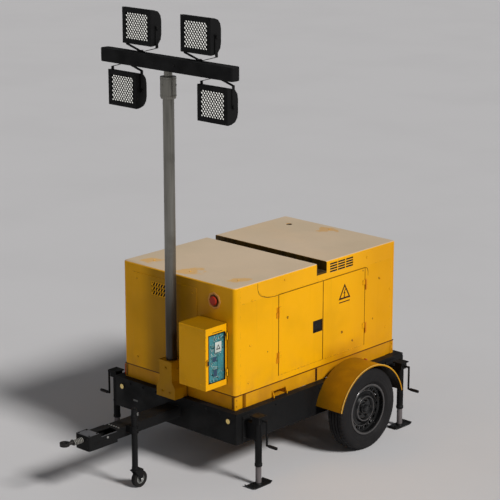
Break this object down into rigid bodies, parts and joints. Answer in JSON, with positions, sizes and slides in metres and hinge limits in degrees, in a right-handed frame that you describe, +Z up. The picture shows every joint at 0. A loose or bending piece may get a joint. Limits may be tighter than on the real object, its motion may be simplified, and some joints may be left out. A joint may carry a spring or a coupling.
{
  "type": "towable diesel generator",
  "caption": "Box-shaped diesel generator on a single-axle trailer with corner jacks, a jockey wheel, a towing eye and a telescopic mast carrying floodlights on a crossbar.",
  "frame": {"origin": "on the ground, under the middle of the machine's bounding box", "axes": "+Z up, +Y from the drawbar to the rear, +X to the side with the control box door"},
  "size_m": [1.894, 3.118, 3.4627],
  "materials": {
    "yellow_paint": "satin, lightly worn",
    "roof_paint": "matt, weathered",
    "black_paint": "satin",
    "mast_steel": "dull",
    "bright_steel": "worn",
    "wheel_paint": "satin",
    "tyre_rubber": "matt",
    "black_rubber": "matt",
    "bellows_rubber": "matt",
    "lamp_housing": "powder coated",
    "circuit_board": "satin",
    "black_plastic": "matt",
    "red_plastic": "gloss",
    "lens_plastic": "gloss",
    "engine_iron": "cast",
    "radiator_metal": "matt",
    "fan_plastic": "matt",
    "tank_plastic": "matt",
    "silencer_steel": "heat stained"
  },
  "bodies": {
    "trailer": {"chassis_frame": "black_paint", "drawbar": "black_paint", "axle_beam": "black_paint", "mudguards": "yellow_paint", "jack_housings": "black_paint", "base_skid": "yellow_paint", "front_panel": "yellow_paint", "rear_panel": "yellow_paint", "side_panel_left": "yellow_paint", "side_panel_right": "yellow_paint", "roof_front": "roof_paint", "roof_rear": "roof_paint", "access_cover": "yellow_paint", "control_box": "yellow_paint", "control_board": "circuit_board", "exhaust_silencer": "silencer_steel", "engine_block": "engine_iron", "alternator": "engine_iron", "radiator": "radiator_metal", "fuel_tank": "tank_plastic", "battery": "tank_plastic", "mast_bracket": "yellow_paint", "marker_lamps": "lens_plastic", "hitch_bellows": "bellows_rubber"},
    "wheel_left_body": {"wheel_left": "wheel_paint", "tyre_left": "tyre_rubber"},
    "wheel_right_body": {"wheel_right": "wheel_paint", "tyre_right": "tyre_rubber"},
    "hitch": {"towing_eye": "bright_steel"},
    "jockey_post": {"jockey_tube": "mast_steel"},
    "jockey_caster": {"jockey_fork": "black_paint"},
    "jockey_roller": {"jockey_wheel": "black_rubber"},
    "estop": {"emergency_stop_button": "red_plastic"},
    "fan": {"engine_fan": "fan_plastic"},
    "control_door": {"control_box_door": "yellow_paint"},
    "mast": {"mast_outer_tube": "mast_steel"},
    "mast_extension": {"mast_inner_tube": "mast_steel", "mast_crossbar": "black_paint"},
    "jack_leg_front_left_body": {"jack_leg_front_left": "black_paint"},
    "jack_crank_front_left_body": {"jack_crank_front_left": "black_paint"},
    "jack_leg_front_right_body": {"jack_leg_front_right": "black_paint"},
    "jack_crank_front_right_body": {"jack_crank_front_right": "black_paint"},
    "jack_leg_rear_left_body": {"jack_leg_rear_left": "black_paint"},
    "jack_crank_rear_left_body": {"jack_crank_rear_left": "black_paint"},
    "jack_leg_rear_right_body": {"jack_leg_rear_right": "black_paint"},
    "jack_crank_rear_right_body": {"jack_crank_rear_right": "black_paint"},
    "door_left_front_body": {"door_left_front": "yellow_paint"},
    "door_left_rear_body": {"door_left_rear": "yellow_paint"},
    "door_latch_left_body": {"door_latch_left": "black_plastic"},
    "door_right_front_body": {"door_right_front": "yellow_paint"},
    "door_right_rear_body": {"door_right_rear": "yellow_paint"},
    "door_latch_right_body": {"door_latch_right": "black_plastic"},
    "yoke_upper_left": {"lamp_yoke_upper_left": "black_paint"},
    "lamp_upper_left": {"lamp_head_upper_left": "lamp_housing"},
    "yoke_upper_right": {"lamp_yoke_upper_right": "black_paint"},
    "lamp_upper_right": {"lamp_head_upper_right": "lamp_housing"},
    "yoke_lower_left": {"lamp_yoke_lower_left": "black_paint"},
    "lamp_lower_left": {"lamp_head_lower_left": "lamp_housing"},
    "yoke_lower_right": {"lamp_yoke_lower_right": "black_paint"},
    "lamp_lower_right": {"lamp_head_lower_right": "lamp_housing"}
  },
  "joints": [
    {"name": "wheel_left_spin", "type": "hinge", "parent": "trailer", "child": "wheel_left_body", "pos_m": [-0.823, 0.822, 0.325], "axis": [1, 0, 0], "continuous": true},
    {"name": "wheel_right_spin", "type": "hinge", "parent": "trailer", "child": "wheel_right_body", "pos_m": [0.823, 0.822, 0.325], "axis": [1, 0, 0], "continuous": true},
    {"name": "towing_eye_overrun", "type": "slide", "parent": "trailer", "child": "hitch", "axis": [0, 1, 0], "range_m": [0, 0.07], "stiffness_N_per_m": 8000, "deforming": ["hitch_bellows"]},
    {"name": "jockey_lift", "type": "slide", "parent": "trailer", "child": "jockey_post", "axis": [0, 0, 1], "range_m": [0, 0.15]},
    {"name": "jockey_swivel", "type": "hinge", "parent": "jockey_post", "child": "jockey_caster", "pos_m": [0.133, -0.96, 0.15], "axis": [0, 0, 1], "continuous": true},
    {"name": "jockey_roll", "type": "hinge", "parent": "jockey_caster", "child": "jockey_roller", "pos_m": [0.133, -0.92, 0.064], "axis": [1, 0, 0], "continuous": true},
    {"name": "emergency_stop_press", "type": "slide", "parent": "trailer", "child": "estop", "axis": [0, 1, 0], "range_m": [0, 0.005], "stiffness_N_per_m": 600},
    {"name": "engine_fan_spin", "type": "hinge", "parent": "trailer", "child": "fan", "pos_m": [0, 1.215, 0.97], "axis": [0, 1, 0], "continuous": true},
    {"name": "control_box_door_swing", "type": "hinge", "parent": "trailer", "child": "control_door", "pos_m": [0.519, -0.375, 0.99], "axis": [0, 0, 1], "range_deg": [0, 90]},
    {"name": "mast_turn", "type": "hinge", "parent": "trailer", "child": "mast", "pos_m": [0, -0.438, 0.9], "axis": [0, 0, 1], "range_deg": [-170, 170]},
    {"name": "mast_raise", "type": "slide", "parent": "mast", "child": "mast_extension", "axis": [0, 0, 1], "range_m": [0, 1.6]},
    {"name": "jack_crank_front_left_turn", "type": "hinge", "parent": "trailer", "child": "jack_crank_front_left_body", "pos_m": [-0.8, -0.3, 0.516], "axis": [1, 0, 0], "range_deg": [0, 1800]},
    {"name": "jack_leg_front_left_lift", "type": "slide", "parent": "trailer", "child": "jack_leg_front_left_body", "axis": [0, 0, 1], "range_m": [0, 0.131]},
    {"name": "jack_crank_front_right_turn", "type": "hinge", "parent": "trailer", "child": "jack_crank_front_right_body", "pos_m": [0.8, -0.3, 0.516], "axis": [1, 0, 0], "range_deg": [0, 1800]},
    {"name": "jack_leg_front_right_lift", "type": "slide", "parent": "trailer", "child": "jack_leg_front_right_body", "axis": [0, 0, 1], "range_m": [0, 0.131]},
    {"name": "jack_crank_rear_left_turn", "type": "hinge", "parent": "trailer", "child": "jack_crank_rear_left_body", "pos_m": [-0.8, 1.385, 0.516], "axis": [1, 0, 0], "range_deg": [0, 1800]},
    {"name": "jack_leg_rear_left_lift", "type": "slide", "parent": "trailer", "child": "jack_leg_rear_left_body", "axis": [0, 0, 1], "range_m": [0, 0.131]},
    {"name": "jack_crank_rear_right_turn", "type": "hinge", "parent": "trailer", "child": "jack_crank_rear_right_body", "pos_m": [0.8, 1.385, 0.516], "axis": [1, 0, 0], "range_deg": [0, 1800]},
    {"name": "jack_leg_rear_right_lift", "type": "slide", "parent": "trailer", "child": "jack_leg_rear_right_body", "axis": [0, 0, 1], "range_m": [0, 0.131]},
    {"name": "door_left_front_swing", "type": "hinge", "parent": "trailer", "child": "door_left_front_body", "pos_m": [-0.596, 0.108, 1.03], "axis": [0, 0, 1], "range_deg": [0, 110]},
    {"name": "door_left_rear_swing", "type": "hinge", "parent": "trailer", "child": "door_left_rear_body", "pos_m": [-0.596, 1.133, 1.03], "axis": [0, 0, -1], "range_deg": [0, 110]},
    {"name": "door_latch_left_pull", "type": "hinge", "parent": "door_left_front_body", "child": "door_latch_left_body", "pos_m": [-0.585, 0.561, 1.041], "axis": [0, 1, 0], "range_deg": [0, 40], "stiffness_Nm_per_rad": 0.6},
    {"name": "door_right_front_swing", "type": "hinge", "parent": "trailer", "child": "door_right_front_body", "pos_m": [0.596, 0.108, 1.03], "axis": [0, 0, -1], "range_deg": [0, 110]},
    {"name": "door_right_rear_swing", "type": "hinge", "parent": "trailer", "child": "door_right_rear_body", "pos_m": [0.596, 1.133, 1.03], "axis": [0, 0, 1], "range_deg": [0, 110]},
    {"name": "door_latch_right_pull", "type": "hinge", "parent": "door_right_front_body", "child": "door_latch_right_body", "pos_m": [0.585, 0.561, 1.041], "axis": [0, -1, 0], "range_deg": [0, 40], "stiffness_Nm_per_rad": 0.6},
    {"name": "lamp_upper_left_pan", "type": "hinge", "parent": "mast_extension", "child": "yoke_upper_left", "pos_m": [-0.3, -0.407, 3.141], "axis": [0, 0, 1], "range_deg": [-90, 90]},
    {"name": "lamp_upper_left_tilt", "type": "hinge", "parent": "yoke_upper_left", "child": "lamp_upper_left", "pos_m": [-0.3, -0.407, 3.33], "axis": [1, 0, 0], "range_deg": [-60, 90]},
    {"name": "lamp_upper_right_pan", "type": "hinge", "parent": "mast_extension", "child": "yoke_upper_right", "pos_m": [0.3, -0.407, 3.141], "axis": [0, 0, 1], "range_deg": [-90, 90]},
    {"name": "lamp_upper_right_tilt", "type": "hinge", "parent": "yoke_upper_right", "child": "lamp_upper_right", "pos_m": [0.3, -0.407, 3.33], "axis": [1, 0, 0], "range_deg": [-60, 90]},
    {"name": "lamp_lower_left_pan", "type": "hinge", "parent": "mast_extension", "child": "yoke_lower_left", "pos_m": [-0.463, -0.407, 3.04], "axis": [0, 0, 1], "range_deg": [-90, 90]},
    {"name": "lamp_lower_left_tilt", "type": "hinge", "parent": "yoke_lower_left", "child": "lamp_lower_left", "pos_m": [-0.463, -0.407, 2.851], "axis": [1, 0, 0], "range_deg": [-60, 90]},
    {"name": "lamp_lower_right_pan", "type": "hinge", "parent": "mast_extension", "child": "yoke_lower_right", "pos_m": [0.463, -0.407, 3.04], "axis": [0, 0, 1], "range_deg": [-90, 90]},
    {"name": "lamp_lower_right_tilt", "type": "hinge", "parent": "yoke_lower_right", "child": "lamp_lower_right", "pos_m": [0.463, -0.407, 2.851], "axis": [1, 0, 0], "range_deg": [-60, 90]}
  ],
  "couplings": [
    {"joint": "jack_leg_front_left_lift", "follows": "jack_crank_front_left_turn", "m_per_rad": 0.004138},
    {"joint": "jack_leg_front_right_lift", "follows": "jack_crank_front_right_turn", "m_per_rad": 0.004138},
    {"joint": "jack_leg_rear_left_lift", "follows": "jack_crank_rear_left_turn", "m_per_rad": 0.004138},
    {"joint": "jack_leg_rear_right_lift", "follows": "jack_crank_rear_right_turn", "m_per_rad": 0.004138}
  ]
}
